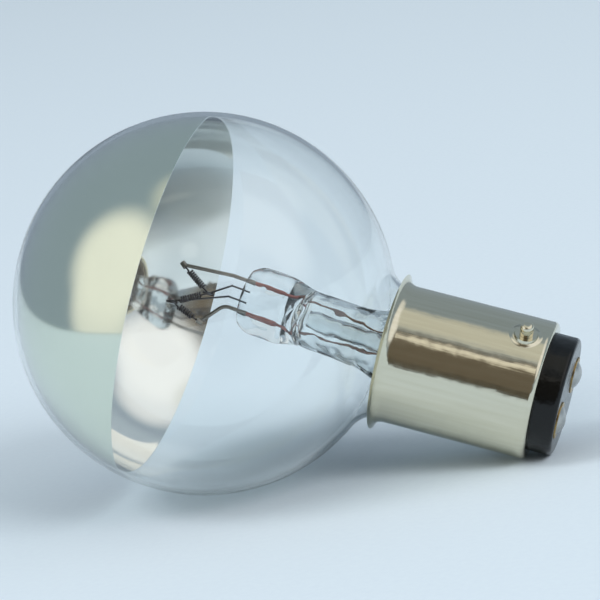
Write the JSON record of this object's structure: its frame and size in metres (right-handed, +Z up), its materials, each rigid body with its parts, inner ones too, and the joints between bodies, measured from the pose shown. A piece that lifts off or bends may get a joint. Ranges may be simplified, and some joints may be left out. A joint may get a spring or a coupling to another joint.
{
  "type": "silver bowl globe bulb",
  "caption": "Clear glass globe lamp with a mirrored crown, a flat-pressed stem and coiled filament inside, on a nickel-plated two-pin bayonet cap with a flared rim.",
  "frame": {"origin": "centre of the bounding box, on the floor that the lamp lies on", "axes": "+Z up, +X level along the lamp towards its cap, which rests lower than the globe's middle, -Y towards the near side"},
  "size_m": [0.089, 0.061, 0.061],
  "materials": {
    "clear_glass": "smooth clear blown glass",
    "silver": "vapour-laid mirror layer",
    "nickel_plate": "polished nickel plate on drawn brass",
    "basing_cement": "matte baked cement",
    "black_glass": "moulded black glass",
    "tungsten": "drawn dark grey wire",
    "nickel_wire": "drawn nickel wire",
    "molybdenum": "drawn grey wire",
    "copper_clad_wire": "copper-clad wire sealed in glass",
    "copper_wire": "bare drawn copper wire",
    "brass_plate": "stamped brass plate",
    "tin_solder": "bright tin bead"
  },
  "bodies": {
    "root": {"cap_shell": "nickel_plate", "cement": "basing_cement", "exhaust_tube": "clear_glass", "far_contact": "brass_plate", "far_solder": "tin_solder", "filament": "tungsten", "glass_bulb": "clear_glass", "insulator": "black_glass", "lower_lead": "nickel_wire", "lower_outer_lead": "copper_wire", "lower_pin": "nickel_plate", "lower_seal_wire": "copper_clad_wire", "lower_support": "molybdenum", "near_contact": "brass_plate", "near_solder": "tin_solder", "silver_bowl": "silver", "stem": "clear_glass", "upper_lead": "nickel_wire", "upper_outer_lead": "copper_wire", "upper_pin": "nickel_plate", "upper_seal_wire": "copper_clad_wire", "upper_support": "molybdenum"}
  },
  "joints": []
}
